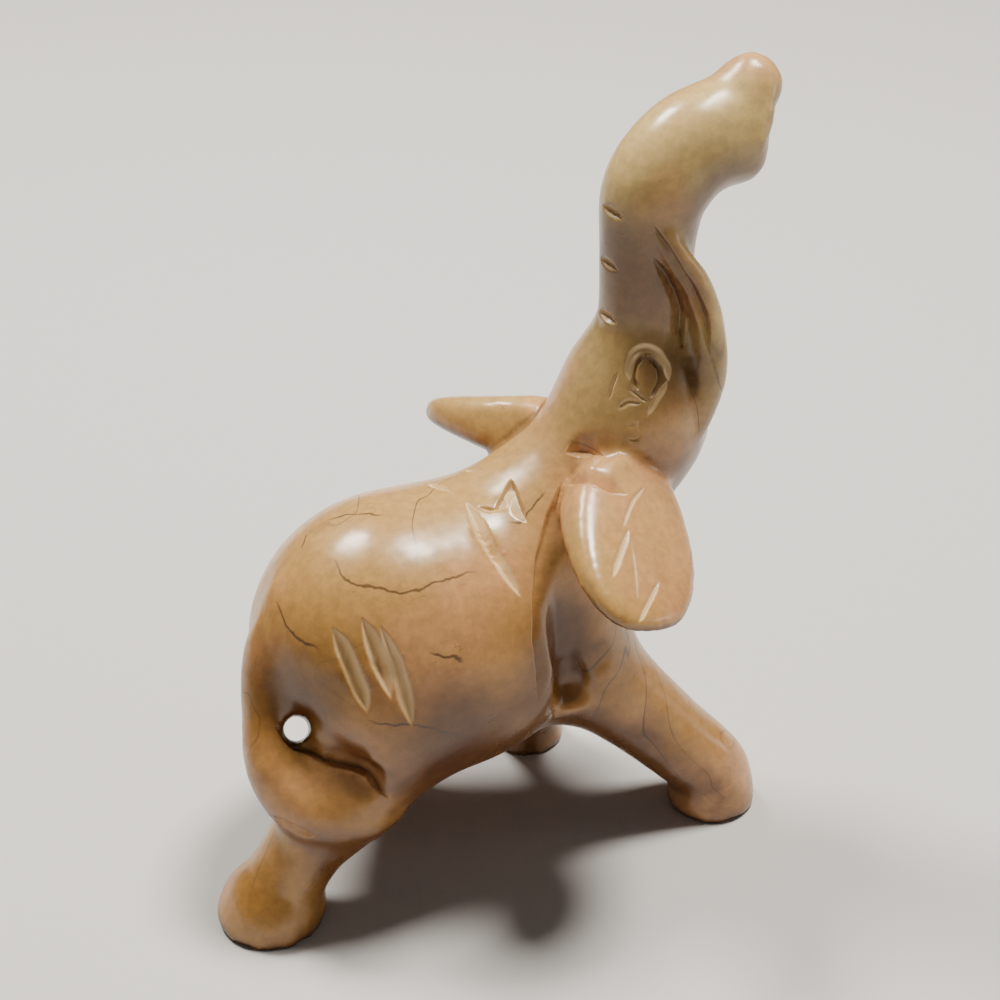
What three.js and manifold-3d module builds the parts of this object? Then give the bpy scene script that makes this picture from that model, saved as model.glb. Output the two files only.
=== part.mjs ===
// Soapstone elephant with its trunk raised, carved from a single stone.
// Millimetres, +Z up, the head towards +X and the elephant's left side towards +Y.
// The origin is under the middle of the carving, in the plane that its four soles stand on.
import * as THREE from "three";
import { MarchingCubes } from "three/addons/objects/MarchingCubes.js";
import { mergeVertices } from "three/addons/utils/BufferGeometryUtils.js";
import Module from "manifold-3d";

const RIGHT = -1;
const LEFT = 1;

// ---------------------------------------------------------------- driving dimensions

// Body: egg shapes as centre, half-lengths and turn in degrees.
const RUMP = [[-19.3, 0, 42.3], [22.2, 21, 23.2]];
const BELLY = [[-6, 0, 39.4], [22.5, 22, 21.2]];
const SHOULDERS = [[11.6, 0, 42.5], [12.5, 15, 20]];
const HEAD = [[26.9, 0, 75.8], [11, 11.3, 13.2], [0, -10, 0]];
const JAW = [[25.8, 0, 67], [9.5, 9.5, 10.4]];
const CHIN = [[34, 0, 67], [7.5, 5.5, 4.2], [0, -22, 0]];

// Limbs: stations of x, y, z and radius along each one.
const NECK = [[1, 0, 48.4, 14.6], [13.8, 0, 58.2, 13.3], [26, 0, 71, 11]];
const TRUNK = [
  [28.4, 0, 78, 9.4], [28.7, 0, 90, 8], [28.4, 0, 102, 7.8],
  [29.6, 0, 111.8, 8.7], [35.8, 0, 117.7, 8.7], [44, 0, 119, 8.7],
];
const TRUNK_NARROWING = 0.92;
const TRUNK_FINGER = [[46, 0, 125.8], [5, 5, 5]];
const TRUNK_FACE = [[75.9, 0, 116], [30, 36, 36]];
const RIGHT_HIND = [
  [-24, -10, 34, 12.5], [-31.2, -11, 23, 9.6], [-39.3, -11, 13, 6.7], [-44, -10.6, 5, 7.1], [-45.5, -10.2, 1, 9.1],
];
const LEFT_HIND = [
  [-16, 10, 34, 13], [-17, 12, 22, 10], [-18.5, 14, 12, 7.5], [-20, 15, 5, 7.3], [-20, 15, 1, 8],
];
const RIGHT_FORE = [
  [10.6, -8, 33.5, 10.2], [19.8, -12, 24, 8.2], [28.2, -15, 14.6, 7.2], [34.8, -17.5, 6.6, 7.1], [35.4, -17.7, 1, 7.8],
];
const LEFT_FORE = [
  [12, 8, 34, 11], [13, 10, 22, 9], [13, 12, 12, 7], [14.2, 13.2, 5, 6.6], [14.4, 13.4, 1, 7.1],
];
const TAIL = [
  [-35.3, 0, 54, 3.4], [-39.4, -1, 45, 4.5], [-41.3, -4, 37, 4.5], [-42.3, -9, 29, 5.2],
  [-38.6, -13.5, 23.6, 6], [-32, -16, 22.6, 6], [-28.8, -17, 21.6, 4],
];
const TUSK = [
  [30, 8, 68, 3], [32.6, 8.6, 74, 3.5], [35.2, 8.8, 81.5, 3.4], [35.1, 8.6, 89, 3],
  [33.3, 8, 96.5, 2.6], [29.7, 7.6, 103, 2], [26, 6.9, 109.2, 0.8],
];

// Hollows: scooped along stations, as limbs are.
const TAIL_HOLLOW = [[-41.5, -17, 42, 4], [-38.3, -8, 34.9, 1.9], [-35.4, 0, 28.2, 1.9], [-32, 9.5, 20.2, 2.6]];
const TAIL_NOOK = [[-40, -17, 40, 2.5], [-35.5, -18.5, 34.5, 3.2], [-31, -19.5, 31, 2.5]];
const TAIL_PASSAGE = [[-43.2, -22, 46.5, 3], [-38.4, -8, 34.9, 2.3], [-35.5, 0, 28.2, 2.3], [-31.5, 11, 19, 3]];
const SHOULDER_CREASE = [[5, 15, 74, 2.5], [5.5, 19, 62, 4], [5.5, 20, 48, 4.5], [6.5, 18, 34, 3.5]];
const MOUTH = [[39.5, -5, 75, 1.2], [41.5, 0, 74.4, 2.2], [39.5, 5, 75, 1.2]];

// Ears: the middle of the root, half the root, the way out to the tip, and half the thickness at each.
const RIGHT_EAR = [[17.2, -10.6, 66.3], [10, 1, -4], [-7.5, -26.3, -9.4], [7.5, 2.1]];
const LEFT_EAR = [[17, 10.6, 65], [10, -1, -4], [-6.1, 21.8, -5.4], [7.4, 2.6]];
const EAR_BURIED = 0.22;

// Chisel cuts on the right side: from, to, width and depth.
const RUMP_STROKES = [
  [[-33.5, -11, 57.5], [-30.7, -21, 42.5], 1.8, 1.4],
  [[-29.5, -13.4, 58.5], [-27.3, -21.5, 44], 2, 1.5],
  [[-27.5, -13, 59], [-24.7, -24, 39], 2, 1.6],
];
const SHOULDER_STROKES = [
  [[-7.2, -3, 68.6], [-3.4, -20, 54.2], 2.2, 2],
  [[1.6, -4.9, 69.4], [-3.7, -8.4, 65.9], 1.3, 1],
  [[1.2, -4.6, 69.6], [0.2, -12, 64.3], 1.3, 1.1],
];
const EYE_STROKES = [
  [[22.3, -11.4, 80.6], [20.5, -9.5, 85], 1, 0.7],
  [[20.4, -9.3, 84.4], [24.2, -8.6, 88.8], 1, 0.7],
  [[22.5, -11.4, 80.6], [25.8, -10.8, 84.8], 1, 0.7],
  [[25.7, -10.6, 84.2], [24, -8.6, 88.8], 1, 0.7],
];
const TUSK_STROKES = [
  [[24.3, -7, 107.6], [30, -7.7, 94], 2, 1],
  [[28.8, -7.6, 97], [31.4, -9.6, 84], 2.2, 1.2],
];

// Notches across the back of the trunk: x, height, width and depth.
const TRUNK_NOTCHES = [[20.5, 109.7, 1.6, 0.9], [20, 101.2, 1.6, 0.9], [19.5, 92.6, 1.6, 0.9], [16.2, 85, 1.4, 0.8]];
const NOTCH_SPAN = [-6, 2];
const NOTCH_RISE = 1.3;

// The grid that the forms are faceted on: half its side, its cells and its middle.
const REACH = 76;
const CELLS = 50;
const MIDDLE = new THREE.Vector3(4, 0, 63);
const LEAST = 0.03;

// ---------------------------------------------------------------- forms
// A form is a function of x, y and z: the distance to its surface, negative inside the stone.

// An egg shape.
function ovoid([centre, halves, turn = [0, 0, 0]]) {
  const m = new THREE.Matrix4()
    .makeRotationFromEuler(new THREE.Euler(...turn.map(THREE.MathUtils.degToRad)))
    .setPosition(...centre)
    .invert().elements;
  return (x, y, z) => {
    const px = m[0] * x + m[4] * y + m[8] * z + m[12];
    const py = m[1] * x + m[5] * y + m[9] * z + m[13];
    const pz = m[2] * x + m[6] * y + m[10] * z + m[14];
    const near = Math.hypot(px / halves[0], py / halves[1], pz / halves[2]);
    const slope = Math.hypot(px / halves[0] ** 2, py / halves[1] ** 2, pz / halves[2] ** 2);
    return slope > 1e-9 ? (near * (near - 1)) / slope : -Math.min(...halves);
  };
}

// The smooth line through a limb's stations, and its smoothly changing radius.
function course(stations) {
  const line = new THREE.CatmullRomCurve3(stations.map(([x, y, z]) => new THREE.Vector3(x, y, z)));
  const girth = new THREE.SplineCurve(stations.map(([, , , r], i) => new THREE.Vector2(i, r)));
  return (t) => [line.getPoint(t), girth.getPoint(t).y];
}

// A limb: round, along its stations.
function limb(stations, stepsEach = 5) {
  const count = (stations.length - 1) * stepsEach;
  const at = course(stations);
  const knots = Array.from({ length: count + 1 }, (_, i) => at(i / count));
  const spans = knots.slice(1).map(([end, last], i) => {
    const [start, first] = knots[i];
    const way = end.clone().sub(start);
    return { start, way, first, grow: last - first, square: way.lengthSq() };
  });
  return (x, y, z) => {
    let nearest = Infinity;
    for (const { start, way, first, grow, square } of spans) {
      const px = x - start.x;
      const py = y - start.y;
      const pz = z - start.z;
      const t = Math.min(1, Math.max(0, (px * way.x + py * way.y + pz * way.z) / square));
      const gap = Math.hypot(px - t * way.x, py - t * way.y, pz - t * way.z) - first - t * grow;
      nearest = Math.min(nearest, gap);
    }
    return nearest;
  };
}

const narrowed = (form, share) => (x, y, z) => form(x, y / share, z) * share;

// The nearer of two distances, with the corner between them filled to about the fillet's size.
function filleted(a, b, fillet) {
  const overlap = Math.max(fillet - Math.abs(a - b), 0) / fillet;
  return Math.min(a, b) - (overlap * overlap * fillet) / 4;
}

const joined = (first, ...rest) => (x, y, z) =>
  rest.reduce((sum, [form, fillet]) => filleted(sum, form(x, y, z), fillet), first(x, y, z));

const scooped = (form, ...hollows) => (x, y, z) =>
  hollows.reduce((sum, [hollow, fillet]) => -filleted(-sum, hollow(x, y, z), fillet), form(x, y, z));

const onSide = (side, stations) => stations.map(([x, y, z, ...rest]) => [x, y * side, z, ...rest]);

// ---------------------------------------------------------------- the elephant as one form

const trunkAndBody = joined(
  ovoid(RUMP),
  [ovoid(BELLY), 12],
  [ovoid(SHOULDERS), 8],
  [limb(NECK), 9],
  [ovoid(HEAD), 8],
  [ovoid(JAW), 6],
  [narrowed(limb(TRUNK), TRUNK_NARROWING), 4],
  [ovoid(CHIN), 3],
  [limb(RIGHT_HIND), 6],
  [limb(LEFT_HIND), 6],
  [limb(RIGHT_FORE), 6],
  [limb(LEFT_FORE), 6],
);
const hollowed = scooped(
  trunkAndBody,
  [ovoid(TRUNK_FACE), 2],
  [limb(MOUTH), 2],
  [limb(TAIL_NOOK), 2],
  [limb(onSide(RIGHT, SHOULDER_CREASE)), 2],
  [limb(onSide(LEFT, SHOULDER_CREASE)), 2],
);
const stone = scooped(
  joined(hollowed, [ovoid(TRUNK_FINGER), 3], [limb(TAIL), 2]),
  [limb(TAIL_HOLLOW), 2],
);

// ---------------------------------------------------------------- from forms to solids

// The form's surface on a grid of cells, found by three.js's MarchingCubes.
// It puts one corner on every grid edge that the surface crosses, again for each triangle there:
// those that share an edge become one.
function faceted(form) {
  const cubes = new MarchingCubes(CELLS, new THREE.MeshStandardMaterial(), false, false, 40000);
  const size = (2 * REACH) / CELLS;
  const start = MIDDLE.clone().subScalar(REACH);
  cubes.isolation = 0;
  for (let k = 0; k < CELLS; k++) {
    for (let j = 0; j < CELLS; j++) {
      for (let i = 0; i < CELLS; i++) {
        const depth = -form(start.x + i * size, start.y + j * size, start.z + k * size);
        cubes.setCell(i, j, k, Math.abs(depth) < LEAST ? LEAST : depth);
      }
    }
  }
  cubes.update();
  const found = new Map();
  const places = [];
  const corners = [];
  for (let v = 0; v < cubes.count; v++) {
    const place = [0, 1, 2].map((axis) => ((cubes.positionArray[3 * v + axis] + 1) * CELLS) / 2);
    const edge = place.map((p) => (Math.abs(p - Math.round(p)) < 1e-3 ? Math.round(p) : Math.floor(p) + 0.5));
    const key = edge.join();
    if (!found.has(key)) {
      found.set(key, found.size);
      places.push(start.x + place[0] * size, start.y + place[1] * size, start.z + place[2] * size);
    }
    corners.push(found.get(key));
  }
  return new THREE.BufferGeometry()
    .setAttribute("position", new THREE.Float32BufferAttribute(places, 3))
    .setIndex(corners);
}

function slopeAt(form, { x, y, z }, step = 0.05) {
  return new THREE.Vector3(
    form(x + step, y, z) - form(x - step, y, z),
    form(x, y + step, z) - form(x, y - step, z),
    form(x, y, z + step) - form(x, y, z - step),
  ).divideScalar(2 * step);
}

// Moves a point onto the form's surface.
function settle(point, form, rounds) {
  for (let i = 0; i < rounds; i++) {
    const slope = slopeAt(form, point);
    point.addScaledVector(slope, -form(point.x, point.y, point.z) / Math.max(slope.lengthSq(), 0.05));
  }
  return point;
}

// Evens out the triangles: each corner moves to the middle of its neighbours, then back onto the form.
function evened(geometry, form, rounds) {
  const at = geometry.attributes.position;
  const corners = geometry.index.array;
  const around = Array.from({ length: at.count }, () => new Set());
  for (let i = 0; i < corners.length; i += 3) {
    for (const [a, b, c] of [[0, 1, 2], [1, 2, 0], [2, 0, 1]]) {
      around[corners[i + a]].add(corners[i + b]).add(corners[i + c]);
    }
  }
  const neighbour = new THREE.Vector3();
  for (let round = 0; round < rounds; round++) {
    const old = at.clone();
    around.forEach((ring, v) => {
      const point = new THREE.Vector3();
      ring.forEach((n) => point.addScaledVector(neighbour.fromBufferAttribute(old, n), 1 / ring.size));
      settle(point, form, 3);
      at.setXYZ(v, point.x, point.y, point.z);
    });
  }
  return geometry;
}

// A rod along its stations with pointed ends: a sphere's rings, threaded on the line.
function rod(stations, rings, sides) {
  const at = course(stations);
  const line = new THREE.CatmullRomCurve3(Array.from({ length: rings + 1 }, (_, i) => at(i / rings)[0]));
  const { normals, binormals } = line.computeFrenetFrames(rings, false);
  const geometry = new THREE.SphereGeometry(1, sides, rings);
  const place = geometry.attributes.position;
  for (let v = 0; v < place.count; v++) {
    const ring = Math.floor(v / (sides + 1));
    const angle = ((v % (sides + 1)) / sides) * 2 * Math.PI;
    const [, girth] = at(ring / rings);
    const radius = ring % rings === 0 ? 0 : girth;
    const point = line.getPoint(ring / rings)
      .addScaledVector(normals[ring], -Math.cos(angle) * radius)
      .addScaledVector(binormals[ring], Math.sin(angle) * radius);
    place.setXYZ(v, point.x, point.y, point.z);
  }
  return geometry;
}

// An ear is a leaf that starts inside the head and thins towards its rounded tip.
function leaf([root, halfRoot, wayOut, halfThickness]) {
  const geometry = new THREE.IcosahedronGeometry(1, 4);
  const place = geometry.attributes.position;
  const [start, ahead, outward] = [root, halfRoot, wayOut].map((xyz) => new THREE.Vector3(...xyz));
  const face = new THREE.Vector3().crossVectors(ahead, outward).normalize();
  const point = new THREE.Vector3();
  for (let v = 0; v < place.count; v++) {
    point.fromBufferAttribute(place, v);
    const flat = Math.hypot(point.x, point.y);
    const square = flat > 0 ? flat / (Math.abs(point.x) ** 3 + Math.abs(point.y) ** 3) ** (1 / 3) : 1;
    const along = point.x * square;
    const out = ((point.y * square + 1) / 2) * (1 + EAR_BURIED) - EAR_BURIED;
    const width = 0.95 + 0.7 * out - 0.72 * out * out;
    const thinning = Math.max(0, out) ** 0.6;
    const thickness = THREE.MathUtils.lerp(...halfThickness, Math.min(1, thinning));
    const deep = Math.sign(point.z) * Math.abs(point.z) ** 0.55 * thickness;
    point.copy(start)
      .addScaledVector(ahead, along * width)
      .addScaledVector(outward, out - 0.02 * along)
      .addScaledVector(face, deep);
    place.setXYZ(v, point.x, point.y, point.z);
  }
  return geometry;
}

// A chisel cut: a V-shaped groove with pointed ends between two points near the surface.
function groove([from, to, width, depth]) {
  const ahead = new THREE.Vector3(...to).sub(new THREE.Vector3(...from));
  const centre = settle(new THREE.Vector3(...from).addScaledVector(ahead, 0.5), stone, 8);
  const out = slopeAt(stone, centre).normalize();
  const long = ahead.length();
  ahead.addScaledVector(out, -ahead.dot(out)).normalize();
  const across = new THREE.Vector3().crossVectors(out, ahead);
  return new THREE.OctahedronGeometry(1)
    .scale(long / 2, width / 2, depth)
    .applyMatrix4(new THREE.Matrix4().makeBasis(ahead, across, out).setPosition(centre));
}

function solid(geometry) {
  const bare = geometry.clone();
  bare.deleteAttribute("normal");
  bare.deleteAttribute("uv");
  const welded = mergeVertices(bare, 1e-4);
  return new wasm.Manifold(new wasm.Mesh({
    numProp: 3,
    vertProperties: new Float32Array(welded.attributes.position.array),
    triVerts: new Uint32Array(welded.index.array),
  }));
}

function geometryOf(made) {
  const mesh = made.getMesh();
  return new THREE.BufferGeometry()
    .setAttribute("position", new THREE.BufferAttribute(mesh.vertProperties, 3))
    .setIndex(new THREE.BufferAttribute(mesh.triVerts, 1));
}

// ---------------------------------------------------------------- the carving

const wasm = await Module();
wasm.setup();

const onLeft = ([from, to, ...size]) => [...onSide(-1, [from, to]), ...size];
const bothSides = [...RUMP_STROKES.slice(1), ...EYE_STROKES, ...TUSK_STROKES];
const notches = TRUNK_NOTCHES.map(([x, z, ...size]) => [
  [x, NOTCH_SPAN[0], z - NOTCH_RISE / 2], [x, NOTCH_SPAN[1], z + NOTCH_RISE / 2], ...size,
]);
const cuts = [RUMP_STROKES[0], ...bothSides, ...bothSides.map(onLeft), ...SHOULDER_STROKES, ...notches];

const ground = new THREE.BoxGeometry(4 * REACH, 4 * REACH, REACH).translate(0, 0, -REACH / 2);
const blank = solid(evened(faceted(stone), stone, 4))
  .add(solid(leaf(RIGHT_EAR)))
  .add(solid(leaf(LEFT_EAR)))
  .add(solid(rod(onSide(RIGHT, TUSK), 20, 8)))
  .add(solid(rod(onSide(LEFT, TUSK), 20, 8)))
  .subtract(solid(rod(TAIL_PASSAGE, 10, 8)))
  .subtract(solid(ground));
const carving = geometryOf(cuts.reduce((left, cut) => left.subtract(solid(groove(cut))), blank));
carving.computeBoundingBox();
const middle = carving.boundingBox.getCenter(new THREE.Vector3());
carving.translate(-middle.x, -middle.y, 0);

const elephant = new THREE.Mesh(
  carving,
  new THREE.MeshStandardMaterial({ color: 0xb08a5a, roughness: 0.35, metalness: 0 }),
);
elephant.name = "elephant";

export default new THREE.Group().add(elephant);
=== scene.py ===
# %% [markdown]
# # A small elephant carved from one lump of soapstone
# The object is one stone from its raised trunk to its feet, about 13 cm tall. The frame is
# the solid in model.glb. Everything here is fitted to it: first the frame is loaded, then
# the carved skin is made over it, then its cuts, colour and wax.

# %% Load the frame
import math

import bmesh
import bpy
import numpy as np
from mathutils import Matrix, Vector
from mathutils.bvhtree import BVHTree


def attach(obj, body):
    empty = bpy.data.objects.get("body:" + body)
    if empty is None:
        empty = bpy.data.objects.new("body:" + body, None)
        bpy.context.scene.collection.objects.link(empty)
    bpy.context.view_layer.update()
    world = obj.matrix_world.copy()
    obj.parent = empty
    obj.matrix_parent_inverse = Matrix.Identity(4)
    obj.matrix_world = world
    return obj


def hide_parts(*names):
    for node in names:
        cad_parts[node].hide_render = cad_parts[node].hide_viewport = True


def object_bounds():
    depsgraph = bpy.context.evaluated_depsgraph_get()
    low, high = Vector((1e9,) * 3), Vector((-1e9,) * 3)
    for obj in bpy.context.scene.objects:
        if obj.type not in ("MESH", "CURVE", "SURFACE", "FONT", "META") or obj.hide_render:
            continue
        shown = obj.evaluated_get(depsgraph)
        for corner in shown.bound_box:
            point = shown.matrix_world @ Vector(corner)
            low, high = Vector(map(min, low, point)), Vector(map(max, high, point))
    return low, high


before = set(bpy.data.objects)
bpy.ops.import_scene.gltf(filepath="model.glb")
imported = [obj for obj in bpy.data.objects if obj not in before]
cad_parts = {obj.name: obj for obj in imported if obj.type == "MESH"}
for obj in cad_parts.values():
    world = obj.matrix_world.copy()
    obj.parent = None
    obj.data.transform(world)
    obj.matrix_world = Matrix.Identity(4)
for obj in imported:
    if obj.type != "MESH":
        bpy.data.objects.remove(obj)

MM = 0.001
LOW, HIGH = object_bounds()
MIDDLE = (LOW + HIGH) / 2
print("the solid measures", [round(side / MM, 1) for side in HIGH - LOW], "mm")

# %% [markdown]
# ## The camera
# The elephant is seen from behind its right side and from a third of the way up the sky,
# with a long lens, so that the near legs don't swell. A Track To constraint could aim the
# camera, but a rotation worked out once from the line of sight leaves nothing live.

# %% Camera
AIM = MIDDLE + Vector((4.1, 2.25, -3.4)) * MM
SIGHT_TURN, SIGHT_RISE = math.radians(-27), math.radians(32)
SIGHT_DISTANCE = 340 * MM
LENS = 74.88
NEAREST, FARTHEST = 0.01, 10


def line_of_sight(turn, rise):
    """The way from the stone to a camera or lamp at that turn and height in the sky."""
    level = math.cos(rise)
    return Vector((math.sin(turn) * level, -math.cos(turn) * level, math.sin(rise)))


back = line_of_sight(SIGHT_TURN, SIGHT_RISE)
lens = bpy.data.cameras.new("camera")
lens.lens = LENS
lens.clip_start, lens.clip_end = NEAREST, FARTHEST
camera = bpy.data.objects.new("camera", lens)
camera.location = AIM + back * SIGHT_DISTANCE
camera.rotation_euler = (-back).to_track_quat("-Z", "Y").to_euler()
bpy.context.scene.collection.objects.link(camera)
bpy.context.scene.camera = camera
print("camera", round(SIGHT_DISTANCE / MM), "mm from the stone")

# %% [markdown]
# ## The skin of the stone
# The solid is built of flat facets, and a polished stone has none. Subdividing the facets
# would keep their dents, so a copy is rebuilt as an even net of small squares by a voxel
# remesh, which needs no hand-laid faces, and the net is then relaxed until the facets melt.

# %% Copy and remesh
NET = 0.8 * MM
SAME_PLACE = 0.001 * MM


def merged_copy(node, name):
    """A copy of a frame node as a new piece, with its loose triangles joined."""
    shape = bmesh.new()
    shape.from_mesh(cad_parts[node].data)
    bmesh.ops.remove_doubles(shape, verts=shape.verts, dist=SAME_PLACE)
    mesh = bpy.data.meshes.new(name)
    shape.to_mesh(mesh)
    shape.free()
    piece = bpy.data.objects.new(name, mesh)
    bpy.context.scene.collection.objects.link(piece)
    return piece


def finished(piece):
    """Makes what the piece's modifiers show its own mesh."""
    graph = bpy.context.evaluated_depsgraph_get()
    graph.update()
    piece.data = bpy.data.meshes.new_from_object(piece.evaluated_get(graph))
    piece.modifiers.clear()
    return piece


elephant = merged_copy("elephant", "elephant_stone")
net = elephant.modifiers.new("net", "REMESH")
net.mode = "VOXEL"
net.voxel_size = NET
finished(elephant)
print("a net of", len(elephant.data.polygons), "squares")

# %% Relax the net
MELT_ROUNDS = 16
PULL, PUSH = 0.5, -0.52


def places_of(mesh):
    """The places of all the net's corners, one row each."""
    flat = np.empty(len(mesh.vertices) * 3, np.float32)
    mesh.vertices.foreach_get("co", flat)
    return flat.reshape(-1, 3).astype(float)


def normals_of(mesh):
    """The way out of the stone at each corner."""
    flat = np.empty(len(mesh.vertices) * 3, np.float32)
    mesh.vertex_normals.foreach_get("vector", flat)
    return flat.reshape(-1, 3).astype(float)


def put_places(mesh, places):
    """Moves all the net's corners."""
    mesh.vertices.foreach_set("co", places.astype(np.float32).ravel())
    mesh.update()


def edges_of(mesh):
    """The numbers of the two corners that each edge joins."""
    flat = np.empty(len(mesh.edges) * 2, np.int32)
    mesh.edges.foreach_get("vertices", flat)
    return flat.reshape(-1, 2)


def averaged(values, edges):
    """For each corner, the mean of its neighbours' values."""
    total = np.zeros_like(values)
    np.add.at(total, edges[:, 0], values[edges[:, 1]])
    np.add.at(total, edges[:, 1], values[edges[:, 0]])
    count = np.bincount(edges.ravel(), minlength=len(values))
    return total / count[:, None]


def relaxed(places, edges, rounds):
    """Draws corners towards their neighbours, then swells them back, so nothing shrinks."""
    for _ in range(rounds):
        for strength in (PULL, PUSH):
            places = places + strength * (averaged(places, edges) - places)
    return places


def on_the_ground(places):
    """The soles stay flat: nothing hangs below the ground that the elephant stands on."""
    places[:, 2] = np.maximum(places[:, 2], 0)
    return places


mesh = elephant.data
skin = relaxed(places_of(mesh), edges_of(mesh), MELT_ROUNDS)
put_places(mesh, on_the_ground(skin))
print("relaxed skin", (skin.min(0) / MM).round(2), (skin.max(0) / MM).round(2))

# %% [markdown]
# ## Where the chisel went
# The carver finished the polished stone with bare cuts: three across the rump, one long one
# down the shoulder, an eye, and strokes on the ear and along the tusk. Each is named here by
# the points that it passes, in millimetres, its widths to the left and right of the line as
# the tool travels, and its depth. The broad folds behind the shoulder and over the tail's
# tuft, and the scallops at the ear's root, are named in the same way, but were rubbed smooth
# and leave no bare stone. Boolean cutters would do for straight cuts, but these follow a
# round surface, so the skin itself is pressed in along each line.

# %% The carver's cuts
def cut(points, left, right, depth, bare, ends=0.3):
    """One stroke of the tool: what it passes, its widths, its depth, how much bare stone it
    leaves, and the share of its length that each of its two points takes."""
    return points, left, right, depth, ends, bare


RUMP_CUTS = [
    cut([(-31.2, -9.8, 55.6), (-30.4, -12, 51.4), (-29.8, -14.5, 47.5), (-28.8, -17.2, 43)],
        left=2.1, right=0.9, depth=1.3, bare=0.9),
    cut([(-27, -11.6, 57.4), (-26.4, -13.8, 53), (-25.8, -15.6, 49.2), (-25.2, -18.3, 45.2)],
        left=2.2, right=1, depth=1.4, bare=0.9, ends=0.4),
    cut([(-24.6, -13.4, 56.2), (-23.8, -16.9, 50.8), (-23.3, -18.5, 46.7), (-22.7, -20.6, 40.2)],
        left=1.4, right=1.3, depth=1, bare=0.8, ends=0.35),
]
SHOULDER_CUTS = [
    cut([(-3.5, -0.4, 65.3), (-3.8, -6.9, 61.8), (-2.7, -11.8, 58.7), (-1.2, -15.6, 55.2)],
        left=1.2, right=1.2, depth=1, bare=1),
    cut([(4.7, -0.4, 67.3), (3.2, -1.7, 66.4), (-0.1, -4.3, 64.6)],
        left=1.5, right=0.4, depth=0.7, bare=0.3),
    cut([(0.2, -4.2, 64.8), (-2.1, -2.3, 65.1)],
        left=0.8, right=0.4, depth=0.5, bare=0.3, ends=0.4),
    cut([(4.6, -0.7, 67.3), (4, -4.7, 65.5), (3.8, -7.8, 63.4)],
        left=0.4, right=1.8, depth=0.8, bare=0.4),
]
BACK_NICKS = [
    cut([(-5.9, 9, 64.4), (-4.2, 3.2, 65.5)], left=0.7, right=0.9, depth=0.8, bare=0.8, ends=0.4),
    cut([(1.4, 9.8, 64.5), (2.5, 5.1, 66.4)], left=0.7, right=0.7, depth=0.7, bare=0.8, ends=0.4),
]
EYE_RING = [(23, -6, 83.4), (23.2, -5, 85.2), (24.2, -4.3, 87.2), (25.5, -4.5, 88), (26.9, -5, 88),
            (28.2, -5.8, 87.2), (29.3, -7, 85), (29, -8, 82.8)]
EYE_CUTS = [
    cut(EYE_RING, left=0.8, right=0.9, depth=0.4, bare=1, ends=0.15),
    cut([(22.5, -6.1, 82.7), (23.6, -7.4, 81.7), (25, -8.7, 80.4)],
        left=0.4, right=0.6, depth=0.55, bare=0.7),
    cut([(28.9, -8, 83.2), (27.1, -8.6, 81.5), (25.9, -8.8, 80.3), (24.5, -9.3, 78.3)],
        left=0.8, right=0.4, depth=0.6, bare=0.8),
    cut([(26.1, -5.2, 87), (24.6, -5.2, 85.5), (23.7, -6.2, 83.8), (24, -7.4, 82)],
        left=0.3, right=1, depth=0.85, bare=0.1, ends=0.25),
    cut([(26.3, -5.3, 87), (27.6, -6.7, 85), (27.4, -7.8, 83.2), (25.3, -8.5, 80.8)],
        left=1, right=0.3, depth=0.85, bare=0.1, ends=0.25),
    cut([(20.6, -6.5, 79.2), (22.1, -7.1, 80.6), (24.1, -8.2, 80.2)],
        left=0.7, right=0.6, depth=0.6, bare=0.9),
    cut([(21.8, -4.3, 84.6), (20.6, -4.6, 82.5), (19.8, -5.1, 80.3)],
        left=0.35, right=0.4, depth=0.4, bare=0.8),
]
CHEEK_NICKS = [
    cut([(21.4, -8.2, 76.8), (22.8, -8.7, 77)],
        left=0.3, right=0.3, depth=0.25, bare=0.5, ends=0.4),
    cut([(23.2, -8.8, 77.8), (23.2, -9.4, 75.8)],
        left=0.3, right=0.3, depth=0.25, bare=0.5, ends=0.4),
    cut([(21.1, -8.6, 74.7), (22.7, -9.4, 74.3), (23.5, -9.5, 75.4)],
        left=0.6, right=0.4, depth=0.5, bare=0.9, ends=0.4),
]
EAR_CUTS = [
    cut([(21.4, -14.4, 68.9), (18.2, -16.6, 68.9), (15.6, -19, 68.3), (13.4, -21.5, 67.4)],
        left=0.5, right=0.4, depth=0.45, bare=0.6),
    cut([(14.5, -21.4, 67.1), (12.4, -23.7, 66.3), (9.8, -26.3, 65.5), (7.4, -29, 64.4)],
        left=0.7, right=0.6, depth=0.7, bare=0.9),
    cut([(13.8, -23.5, 65.9), (12.2, -27.6, 63.6), (10.2, -32, 61.2)],
        left=0.35, right=0.35, depth=0.15, bare=0.4),
    cut([(16.1, -28.6, 61.1), (13, -31.3, 60.4), (10.9, -33.1, 60), (8.8, -34.9, 59.2)],
        left=0.5, right=0.5, depth=0.6, bare=1),
]
EAR_ROOT_SCALLOPS = [
    cut([(13.2, -3.2, 71.4), (15.6, -6, 72.6), (18.6, -10.6, 72.8)],
        left=3, right=0.9, depth=1.3, bare=0),
    cut([(10.4, -7.6, 69), (11.6, -13, 72), (14.4, -15.6, 71.2), (17.2, -16.4, 69.6)],
        left=2.6, right=0.9, depth=1.2, bare=0),
]
TUSK_CUTS = [
    cut([(27, -4.5, 109), (29, -5.7, 104.8), (30.6, -6.5, 101.3), (32.6, -7.4, 97.8),
         (34.8, -8.3, 92.9), (35.9, -9.1, 86.5)],
        left=0.9, right=1.1, depth=1.2, bare=0),
    cut([(27.2, -4.3, 103.5), (29.9, -4.5, 99.7), (31.6, -4.7, 96.1), (32.7, -4.7, 93),
         (32.8, -5.3, 86)],
        left=0.7, right=1.2, depth=0.9, bare=0),
]
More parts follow.
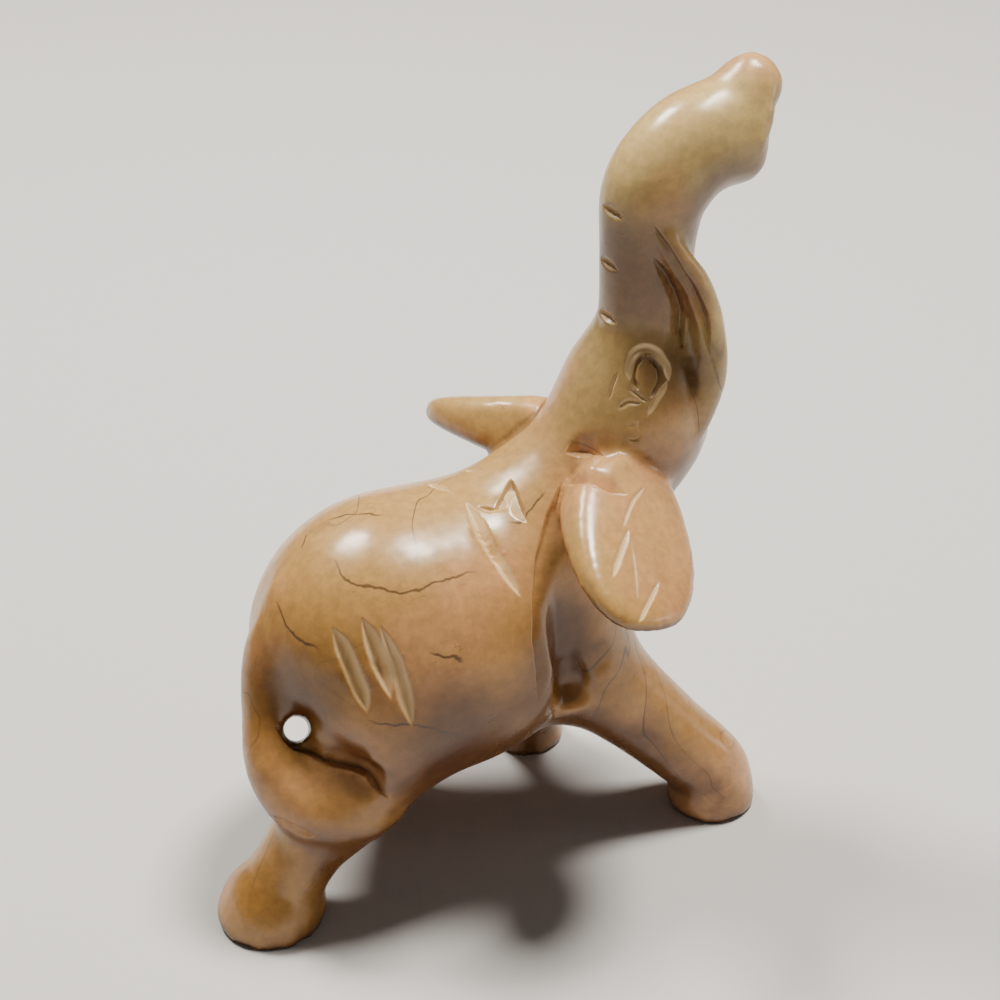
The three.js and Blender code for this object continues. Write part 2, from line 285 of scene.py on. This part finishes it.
TRUNK_NICKS = [
    cut([(22.4, 3.2, 110.1), (23, 0.8, 109.7), (23.5, -1.6, 109.4)],
        left=1.2, right=0.7, depth=0.9, bare=0.5, ends=0.4),
    cut([(22.6, 4, 100.6), (22.7, 1.6, 100.6), (23.2, -0.8, 100.4)],
        left=1.2, right=0.7, depth=0.9, bare=0.5, ends=0.4),
    cut([(22.8, 4.2, 91.2), (22.6, 1.6, 91.4), (23.2, -1, 91.1)],
        left=1.2, right=0.7, depth=0.9, bare=0.5, ends=0.4),
]
FOLDS = [
    cut([(11.2, -5.8, 68.1), (7.6, -8.4, 64.1), (3.6, -12.1, 58.9), (1.2, -15.6, 54.1),
         (-0.3, -18.6, 48.7), (-0.6, -20.1, 37.5)],
        left=3.4, right=0.6, depth=1.1, bare=0, ends=0.2),
    cut([(-40.3, -6.6, 37.4), (-38.6, -8.4, 34.1), (-35.7, -12.1, 32.8), (-31.6, -14.3, 31.6),
         (-29.2, -16.6, 30.8), (-26.6, -19.4, 26.5)],
        left=3.2, right=0.5, depth=1.3, bare=0, ends=0.25),
    cut([(-43.2, -11.8, 24.2), (-41.8, -14.4, 23.4), (-38.6, -16.7, 21.4)],
        left=0.9, right=1.8, depth=1, bare=0, ends=0.35),
]
CUTS = (FOLDS + EAR_ROOT_SCALLOPS + RUMP_CUTS + SHOULDER_CUTS + BACK_NICKS + EYE_CUTS
        + CHEEK_NICKS + EAR_CUTS + TUSK_CUTS + TRUNK_NICKS)
print(len(CUTS), "cuts named")

# %% [markdown]
# ## A finer net along the cuts
# A cut is about a millimetre wide, no wider than the net's own squares. A finer net all
# over would be sixteen times as heavy, so only the squares near a cut are divided, in two
# rounds, the second in a narrower strip.

# %% Divide near the cuts
FINE_REACH = [2.2 * MM, 1.3 * MM]
STEP = 0.35 * MM
FEWEST_STEPS = 4
LINE_ROUNDS = 3
SETTLE_ROUNDS = 2


def surface_of(mesh):
    """The skin as it is now, ready to be asked for its nearest point."""
    shape = bmesh.new()
    shape.from_mesh(mesh)
    tree = BVHTree.FromBMesh(shape)
    shape.free()
    return tree


def eased(values, rounds):
    """Values along a line, each drawn towards its two neighbours, with the ends kept."""
    for _ in range(rounds):
        values[1:-1] = (values[:-2] + 2 * values[1:-1] + values[2:]) / 4
    return values


def course(points, tree):
    """A line through the points, laid on the skin: its places and the skin's normals there."""
    corners = [Vector(point) * MM for point in points]
    lengths = [(b - a).length for a, b in zip(corners, corners[1:])]
    stops = np.concatenate([[0], np.cumsum(lengths)])
    count = max(FEWEST_STEPS, math.ceil(stops[-1] / STEP))
    along = np.linspace(0, stops[-1], count + 1)
    line = np.stack([np.interp(along, stops, [c[i] for c in corners]) for i in range(3)], 1)
    line = eased(line, LINE_ROUNDS)
    found = [tree.find_nearest(Vector(place)) for place in line]
    return np.array([f[0] for f in found]), np.array([f[1] for f in found])


def near(places, line, reach):
    """The corners within reach of a line, by their numbers."""
    low, high = line.min(0) - reach, line.max(0) + reach
    inside = np.flatnonzero(((places >= low) & (places <= high)).all(1))
    gaps = np.linalg.norm(places[inside, None] - line[None], axis=2).min(1)
    return inside[gaps < reach]


def divided(mesh, lines, reach):
    """Divides each face whose corners all lie near one of the lines."""
    wanted = np.zeros(len(mesh.vertices), bool)
    places = places_of(mesh)
    for line in lines:
        wanted[near(places, line, reach)] = True
    shape = bmesh.new()
    shape.from_mesh(mesh)
    shape.verts.ensure_lookup_table()
    faces = [face for face in shape.faces if all(wanted[v.index] for v in face.verts)]
    edges = list({edge for face in faces for edge in face.edges})
    bmesh.ops.subdivide_edges(shape, edges=edges, cuts=1, use_grid_fill=True)
    shape.to_mesh(mesh)
    shape.free()


tree = surface_of(mesh)
lines = [course(points, tree)[0] for points, *_ in CUTS]
for reach in FINE_REACH:
    divided(mesh, lines, reach)
    settled = relaxed(places_of(mesh), edges_of(mesh), SETTLE_ROUNDS)
    put_places(mesh, on_the_ground(settled))
print("now", len(mesh.polygons), "faces")

# %% [markdown]
# ## The cuts themselves
# A V-shaped tool leaves two flat walls that meet in a crisp line, runs out to a point at
# both ends, and bares the stone. Each corner of the net near a line is sunk by how close it
# lies to it, which a sculpting brush would do too, but not twice alike.

# %% The tool's way along its line
UP_ROUNDS = 6


def frame_along(line, normals):
    """The tool's way ahead and the way to its right, at each place of its line."""
    ahead = np.gradient(line, axis=0)
    ahead /= np.linalg.norm(ahead, axis=1)[:, None]
    smooth = eased(normals.copy(), UP_ROUNDS)
    smooth -= (smooth * ahead).sum(1)[:, None] * ahead
    smooth /= np.linalg.norm(smooth, axis=1)[:, None]
    return ahead, smooth, np.cross(ahead, smooth)


def beside(places, chosen, line, normals):
    """For each chosen corner: its share of the way, its offset across the line and its
    height over it, and the skin's way up there."""
    ahead, up, right = frame_along(line, normals)
    away = places[chosen, None] - line[None]
    stop = np.linalg.norm(away, axis=2).argmin(1)
    offset = places[chosen] - line[stop]
    stride = np.linalg.norm(np.gradient(line, axis=0)[stop], axis=1)
    onward = (offset * ahead[stop]).sum(1) / stride
    share = (stop + onward) / (len(line) - 1)
    up = up[stop]
    return share, (offset * right[stop]).sum(1), (offset * up).sum(1), up


def tapered(share, ends):
    """1 along the middle of a line, falling to 0 over the given share of it at each end."""
    inward = np.clip(np.minimum(share, 1 - share) / ends, 0, 1)
    return inward * (2 - inward)


# %% Press the cuts in
MARGIN = 1
THINNEST = 0.05
DEEPEST_REACH = 2.5 * MM
BARE_EDGE = 4


def pressed(places, raw, tree, points, left, right, depth, ends, bare):
    """Presses one cut into the skin, and marks how bare the stone is there."""
    line, normals = course(points, tree)
    chosen = near(places, line, (max(left, right) + MARGIN) * MM)
    share, across, height, up = beside(places, chosen, line, normals)
    narrow = tapered(share, ends)
    half = np.where(across < 0, left, right) * MM * np.maximum(narrow, THINNEST)
    wall = np.clip(1 - np.abs(across) / half, 0, 1) * (np.abs(height) < DEEPEST_REACH)
    sink = wall * depth * MM * narrow
    places[chosen] -= up * sink[:, None]
    cleared = bare * np.clip(wall * narrow * BARE_EDGE, 0, 1)
    raw[chosen] = np.maximum(raw[chosen], cleared)
    return places, raw


skin = places_of(mesh)
raw = np.zeros(len(skin))
tree = surface_of(mesh)
for stroke in CUTS:
    skin, raw = pressed(skin, raw, tree, *stroke)
put_places(mesh, skin)
print("cut", int((raw > 0.5).sum()), "corners of the net")

# %% [markdown]
# ## What the finish has to know
# The bare stone in a cut is paler than the waxed skin, and hollows are painted darker,
# partly for dirt and wax in them and partly as painted shade.
# Both follow the carving, so they are kept as numbers on the net's corners for the material
# to read. Painting them by hand would give the same, but not the same each time.

# %% Marks on the net
BLUR_ROUNDS = 24
DEEP = 0.6 * MM


def mark(mesh, name, values):
    """Keeps one number for each corner of the net."""
    layer = mesh.attributes.new(name, "FLOAT", "POINT")
    layer.data.foreach_set("value", values.astype(np.float32))


edges = edges_of(mesh)
blurred = skin.copy()
for _ in range(BLUR_ROUNDS):
    blurred = averaged(blurred, edges)
hollow = ((blurred - skin) * normals_of(mesh)).sum(1)
mark(mesh, "raw", raw)
mark(mesh, "hollow", np.clip(hollow / DEEP, -1, 1))
for face in mesh.polygons:
    face.use_smooth = True
print("hollow from", hollow.min().round(5), "to", hollow.max().round(5))

# %% [markdown]
# ## Where the veins run
# Thin dark veins show where the carver cut through old cracks that filled with darker
# mineral. The clearest, on the back and the right flank, are laid on the skin by the points
# that they pass. Each corner near one keeps how far beside the vein it lies and on which
# side: a line drawn in the material where that number is nearly 0 stays crisp, however
# coarse the net is.

# %% The veins' courses
VEIN_LINES = [
    [(-24.8, 7.1, 63.6), (-22, 5.4, 64.8), (-17, 0.9, 65.8)],
    [(-27.1, -1.6, 62.7), (-27, -6.3, 61), (-24.2, -9, 60.8), (-20.5, -12, 59.6),
     (-13.7, -12.1, 60.4), (-6.7, -12, 60)],
    [(-36.3, 0.8, 55.7), (-36.3, -2.9, 53.3), (-35.2, -6.4, 52.3), (-33.2, -9.7, 51.8)],
    [(-18.4, -18, 52), (-13.1, -19.6, 49.7)],
    [(-29.3, -17.2, 42), (-20, -20.9, 40.3), (-13, -20.9, 34.8)],
    [(1, -6.4, 63.8), (2.6, -7.6, 63.2), (8.3, -5.4, 66.9)],
    [(-28.2, 7.6, 61.6), (-29, 6.1, 61.6), (-29.8, 4.4, 61.2)],
]
VEIN_REACH = 1.6 * MM
VEIN_ENDS = 0.2


def veined(places, tree, courses):
    """How far each corner lies beside the nearest vein, and how strong the vein is there."""
    offset, strength = np.zeros(len(places)), np.zeros(len(places))
    closest = np.full(len(places), VEIN_REACH)
    for points in courses:
        line, normals = course(points, tree)
        chosen = near(places, line, VEIN_REACH)
        share, across = beside(places, chosen, line, normals)[:2]
        closer = np.abs(across) < closest[chosen]
        chosen, share, across = chosen[closer], share[closer], across[closer]
        closest[chosen] = np.abs(across)
        offset[chosen] = across / MM
        strength[chosen] = tapered(share, VEIN_ENDS)
    return offset, strength


beside_vein, vein_strength = veined(skin, tree, VEIN_LINES)
mark(mesh, "beside_vein", beside_vein)
mark(mesh, "vein_strength", vein_strength)
print(len(VEIN_LINES), "veins pass", int((vein_strength > 0).sum()), "corners of the net")

# %% [markdown]
# ## Soapstone
# Soapstone is soft and greasy to the touch. This one runs from cream to tan and pink with
# thin dark veins, and it is rubbed and waxed, so it shines softly. A picture of stone could
# be wrapped round it, but noise in the object's own space runs through the piece as real
# veins do, and has no seams.

# %% Stone material
stone = bpy.data.materials.new("soapstone")
stone.use_nodes = True
tree_of_nodes = stone.node_tree
shader = tree_of_nodes.nodes["Principled BSDF"]
UNDER_SOCKET, OVER_SOCKET, MIXED_SOCKET = 6, 7, 2
NOISE_LOW, NOISE_MIDDLE, NOISE_HIGH = 0.3, 0.5, 0.7


def add(kind, inputs=None, **settings):
    """A shader node with its settings, and its inputs set or linked."""
    made = tree_of_nodes.nodes.new(kind)
    for name, value in settings.items():
        setattr(made, name, value)
    for name, value in (inputs or {}).items():
        if isinstance(value, bpy.types.NodeSocket):
            tree_of_nodes.links.new(value, made.inputs[name])
        else:
            made.inputs[name].default_value = value
    return made


def noise(size, detail=3.0, rough=0.5, distortion=0.0, shift=(0, 0, 0)):
    """Noise whose patches are about size millimetres across."""
    moved = add("ShaderNodeVectorMath", {0: space, 1: Vector(shift) * MM},
                operation="ADD").outputs[0]
    made = add("ShaderNodeTexNoise", {"Vector": moved, "Scale": 1 / (size * MM), "Detail": detail,
                                      "Roughness": rough, "Distortion": distortion})
    return made.outputs["Fac"]


def maths(operation, a, b=0.0, c=0.0):
    return add("ShaderNodeMath", {0: a, 1: b, 2: c}, operation=operation).outputs[0]


def spread(value, low, high, start=0.0, end=1.0):
    """The value's place between low and high, eased at both, laid between start and end."""
    return add("ShaderNodeMapRange", {"Value": value, "From Min": low, "From Max": high,
                                      "To Min": start, "To Max": end},
               interpolation_type="SMOOTHSTEP").outputs[0]


def blend(share, under, over, kind="MIX"):
    """One colour laid over another by a share from 0 to 1."""
    made = add("ShaderNodeMix", {"Factor": share}, data_type="RGBA", blend_type=kind)
    for slot, value in ((UNDER_SOCKET, under), (OVER_SOCKET, over)):
        if isinstance(value, bpy.types.NodeSocket):
            tree_of_nodes.links.new(value, made.inputs[slot])
        else:
            made.inputs[slot].default_value = (*value, 1)
    return made.outputs[MIXED_SOCKET]


def reading(name):
    """A mark that was kept on the net."""
    return add("ShaderNodeAttribute", attribute_name=name, attribute_type="GEOMETRY").outputs["Fac"]


coordinates = add("ShaderNodeTexCoord")
space = coordinates.outputs["Object"]

# %% [markdown]
# ## Colour zones
# The stone runs from cream at the trunk to tan at the feet, with pink clouds. Over that, what
# faces down or sideways and a few set places that lie in shade are painted umber as shade. A
# single noise would give clouds, but not this painted shade where it falls.

# %% Cream, tan and pink
CREAM = (0.66, 0.46, 0.18)
TAN = (0.46, 0.225, 0.055)
PINK = (0.64, 0.32, 0.13)
UMBER = (0.075, 0.018, 0.001)
ALL_TAN, ALL_CREAM = 45 * MM, 95 * MM
PINK_CLOUDS, PINK_FROM, PINK_FULL = 26, 0.46, 0.66
DARK_CLOUDS, DARK_FROM, DARK_FULL, DARK_SHARE = 17, 0.5, 0.72, 0.5
DARK_BELOW, DARK_NONE = 35 * MM, 75 * MM

height = add("ShaderNodeSeparateXYZ", {"Vector": space}).outputs["Z"]
body = blend(spread(height, ALL_TAN, ALL_CREAM), TAN, CREAM)
pink_clouds = noise(PINK_CLOUDS, 2, shift=(3, 8, 1))
body = blend(spread(pink_clouds, PINK_FROM, PINK_FULL), body, PINK)
dark_clouds = spread(noise(DARK_CLOUDS, 4, 0.6, 0.4, (40, 2, 9)), DARK_FROM, DARK_FULL)
clouds = maths("MULTIPLY", dark_clouds, spread(height, DARK_NONE, DARK_BELOW))
body = blend(maths("MULTIPLY", clouds, DARK_SHARE), body, UMBER)

# %% Painted shade
UNDERSIDE_SHADE_CLOUDS = 12
UNDERSIDE_SHADE_NONE, UNDERSIDE_SHADE_FULL, UNDERSIDE_SHADE_SHARE = 0.85, 0.1, 0.85
# Set places that lie in shade, each a centre and reach in mm, painted umber as shade: the trunk's
# two sides, the low flanks, the chest, the cheek and the rump by the tail.
SHADE_PATCHES = [
    ((24, -4, 99), 17),
    ((24, 8.5, 99), 17),
    ((-17, -22, 36), 17),
    ((-17, 26.5, 36), 17),
    ((3, -14, 42), 15),
    ((30, -6, 83), 11),
    ((-37, -6, 42), 13),
]
SHADE_PATCH_CORE, SHADE_PATCH_SHARE = 0.2, 0.72

# Surfaces that face down or sideways are painted umber: painted shade from the light above, broken
# up by noise.
facing = add("ShaderNodeSeparateXYZ", {"Vector": coordinates.outputs["Normal"]}).outputs["Z"]
upward = maths("ADD", facing, noise(UNDERSIDE_SHADE_CLOUDS, 3, shift=(6, 3, 8)))
painted_underside_shade = maths("MULTIPLY", spread(upward, UNDERSIDE_SHADE_NONE, UNDERSIDE_SHADE_FULL), UNDERSIDE_SHADE_SHARE)
body = blend(painted_underside_shade, body, UMBER)
# Each set place is painted umber towards its centre: painted shade.
for centre, reach in SHADE_PATCHES:
    away = add("ShaderNodeVectorMath", {0: space, 1: Vector(centre) * MM},
               operation="DISTANCE").outputs["Value"]
    painted_shade_patch = spread(away, reach * MM, reach * MM * SHADE_PATCH_CORE)
    body = blend(maths("MULTIPLY", painted_shade_patch, SHADE_PATCH_SHARE), body, UMBER)

# %% Grain
GRAIN = 1.6
GRAIN_DARK, GRAIN_LIGHT = 0.86, 1.1

grain = spread(noise(GRAIN, 5, 0.65), NOISE_LOW, NOISE_HIGH, GRAIN_DARK, GRAIN_LIGHT)
grey = add("ShaderNodeCombineColor", {channel: grain for channel in range(3)}).outputs[0]
body = blend(1.0, body, grey, "MULTIPLY")

# %% [markdown]
# ## Veins
# The clearest veins follow their laid courses and tremble a little on the way. The fine
# ones elsewhere run where a slow noise passes its middle value, broken up by a slower
# one. Voronoi cell borders would look cracked in cells, which this stone isn't.

# %% Draw the veins
VEIN = (0.05, 0.03, 0.02)
VEIN_SHARE = 0.75
FINE_SPACING, FINE_WIDTH = 34, 0.007
GAP_STRETCH, GAP_FROM, GAP_NONE = 1.4, 0.5, 0.62
TREMBLE_SIZE, TREMBLE = 3.5, 2.4
TRACE_EDGE, TRACE_CORE = 0.3, 0.08


def vein(size, width, shift, bends):
    """A thin line where a slow noise passes its middle value, broken up by a slower one."""
    slow = noise(size, 3, 0.55, bends, shift)
    line = spread(maths("ABSOLUTE", maths("SUBTRACT", slow, NOISE_MIDDLE)), width, 0.0)
    turned_shift = (shift[1], shift[2], shift[0])
    slower = noise(size * GAP_STRETCH, 2, shift=turned_shift)
    return maths("MULTIPLY", line, spread(slower, GAP_FROM, GAP_NONE))


def traced():
    """A thin line along the laid courses, which noise moves from side to side."""
    moved = maths("MULTIPLY_ADD", noise(TREMBLE_SIZE, 3, shift=(2, 6, 4)), TREMBLE,
                  reading("beside_vein"))
    distance = maths("ABSOLUTE", maths("SUBTRACT", moved, TREMBLE * NOISE_MIDDLE))
    return maths("MULTIPLY", spread(distance, TRACE_EDGE, TRACE_CORE), reading("vein_strength"))


veins = maths("MAXIMUM", vein(FINE_SPACING, FINE_WIDTH, (11, 4, 70), 0.8), traced())
stoneware = blend(maths("MULTIPLY", veins, VEIN_SHARE), body, VEIN)

# %% [markdown]
# ## Cuts, hollows and polish
# Hollows are painted darker, partly for the dirt and wax that they hold and partly as painted
# shade, and the fresh cuts are pale, dry and a little rough. The rest is rubbed smooth, and a
# thin clear coat stands for the wax. Real relief finer than the net is only the ripple of hand
# sanding and the grain in the cuts, so bump is enough for it.

# %% Cuts and hollows
BARE = (0.85, 0.6, 0.3)
BARE_SHARE, HOLLOW_SHARE = 0.8, 0.55
HOLLOW_FROM, HOLLOW_FULL = 0.15, 0.9

bare = reading("raw")
# Hollows are darkened towards umber: partly dirt and wax held there, partly painted shade.
hollow_dirt_and_shade = maths("MULTIPLY", spread(reading("hollow"), HOLLOW_FROM, HOLLOW_FULL), HOLLOW_SHARE)
coloured = blend(hollow_dirt_and_shade, stoneware, UMBER)
coloured = blend(maths("MULTIPLY", bare, BARE_SHARE), coloured, BARE)
tree_of_nodes.links.new(coloured, shader.inputs["Base Color"])

# %% Polish
RUBBED_PATCHES = 9
SMOOTHEST, DULLEST, BARE_DULLER = 0.24, 0.36, 0.3
FINE_GRAIN, FINE_SHARE, FINE_WAXED, FINE_BARE = 0.7, 0.12, 0.12, 0.9
RIPPLE, RIPPLE_STRENGTH, RIPPLE_HEIGHT = 7, 0.35, 0.6 * MM

patches = noise(RUBBED_PATCHES, 4, shift=(1, 2, 3))
rubbed = spread(patches, NOISE_LOW, NOISE_HIGH, SMOOTHEST, DULLEST)
gloss = maths("ADD", rubbed, maths("MULTIPLY", bare, BARE_DULLER))
tree_of_nodes.links.new(gloss, shader.inputs["Roughness"])
fine_strength = maths("MULTIPLY_ADD", bare, FINE_BARE, FINE_WAXED)
fine = maths("MULTIPLY", noise(FINE_GRAIN, 4, 0.7), fine_strength)
relief = maths("MULTIPLY_ADD", fine, FINE_SHARE, noise(RIPPLE, 2, shift=(9, 9, 9)))
bump = add("ShaderNodeBump", {"Strength": RIPPLE_STRENGTH, "Distance": RIPPLE_HEIGHT,
                              "Height": relief})
tree_of_nodes.links.new(bump.outputs["Normal"], shader.inputs["Normal"])
for name, value in {"Subsurface Weight": 0.05, "Subsurface Radius": (1.0, 0.5, 0.25),
                    "Subsurface Scale": 3 * MM, "Coat Weight": 0.25,
                    "Coat Roughness": 0.22}.items():
    shader.inputs[name].default_value = value
print("material with", len(tree_of_nodes.nodes), "nodes")

# %% Dress the piece
mesh.materials.clear()
mesh.materials.append(stone)
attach(elephant, "root")
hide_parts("elephant")

# %% [markdown]
# ## Floor and light
# The floor is plain and pale. Two soft lamps stand high over the stone's far side, so that
# its back is bright and the near flank is in half shade, and a weak one lights the tusk.

# %% Floor
FLOOR_REACH = 3.0
PAPER, PAPER_ROUGHNESS = (0.7, 0.69, 0.68, 1), 0.9

floor_shape = bmesh.new()
bmesh.ops.create_grid(floor_shape, x_segments=1, y_segments=1, size=FLOOR_REACH)
floor_mesh = bpy.data.meshes.new("floor")
floor_shape.to_mesh(floor_mesh)
floor_shape.free()
floor = bpy.data.objects.new("floor", floor_mesh)
bpy.context.scene.collection.objects.link(floor)
paper = bpy.data.materials.new("paper")
paper.use_nodes = True
paper_shader = paper.node_tree.nodes["Principled BSDF"]
paper_shader.inputs["Base Color"].default_value = PAPER
paper_shader.inputs["Roughness"].default_value = PAPER_ROUGHNESS
floor.data.materials.append(paper)

# %% Lamps
def lamp(name, size, power, turn, rise, distance, colour):
    """A round soft lamp at that distance in metres from the stone's middle, facing it."""
    light = bpy.data.lights.new(name, "AREA")
    light.shape = "DISK"
    light.size = size
    light.energy = power
    light.color = colour
    holder = bpy.data.objects.new(name, light)
    ray = line_of_sight(math.radians(turn), math.radians(rise))
    holder.location = MIDDLE + ray * distance
    holder.rotation_euler = (-ray).to_track_quat("-Z", "Y").to_euler()
    bpy.context.scene.collection.objects.link(holder)


WARM, PALE_WARM = (1, 0.95, 0.86), (1, 0.96, 0.9)
lamp("key", size=0.24, power=12, turn=100, rise=72, distance=0.9, colour=WARM)
lamp("far_key", size=0.24, power=9, turn=-160, rise=58, distance=0.9, colour=WARM)
lamp("side", size=0.25, power=0.7, turn=68, rise=8, distance=1.0, colour=PALE_WARM)

# %% The room's own light
ROOM_COLOUR, ROOM_STRENGTH = (1, 0.97, 0.94, 1), 0.08

world = bpy.data.worlds.new("studio")
world.use_nodes = True
background = world.node_tree.nodes["Background"]
background.inputs["Color"].default_value = ROOM_COLOUR
background.inputs["Strength"].default_value = ROOM_STRENGTH
bpy.context.scene.world = world
